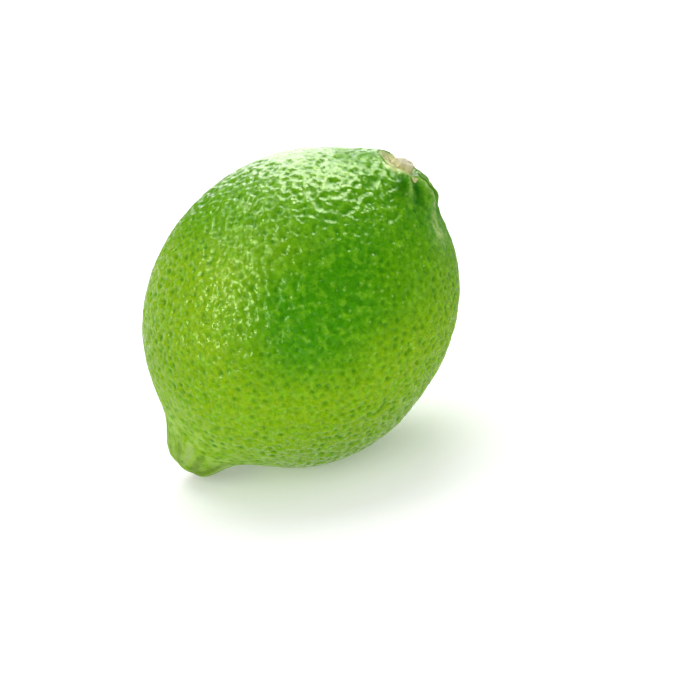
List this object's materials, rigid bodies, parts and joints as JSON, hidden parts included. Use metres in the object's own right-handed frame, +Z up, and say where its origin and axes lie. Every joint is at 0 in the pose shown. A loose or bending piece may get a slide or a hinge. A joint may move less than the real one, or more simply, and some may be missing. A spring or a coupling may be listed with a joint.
{
  "type": "lime",
  "caption": "Whole lime with a lobed stem neck, a dried stem button, a blunt nipple and a finely pitted rind, lying on a small flat spot.",
  "frame": {"origin": "on the surface the fruit lies on, under the middle of its bounding box", "axes": "+Z up; +X the way the stem end leans, with the nipple at -X; Y across the fruit"},
  "size_m": [0.059, 0.054, 0.0567],
  "materials": {
    "rind": "waxy, glossy green rind with fine oil-gland pits",
    "dry_button": "dry, corky, matt tan and grey-beige"
  },
  "bodies": {
    "root": {"fruit": "rind", "stem_button": "dry_button"}
  },
  "joints": []
}
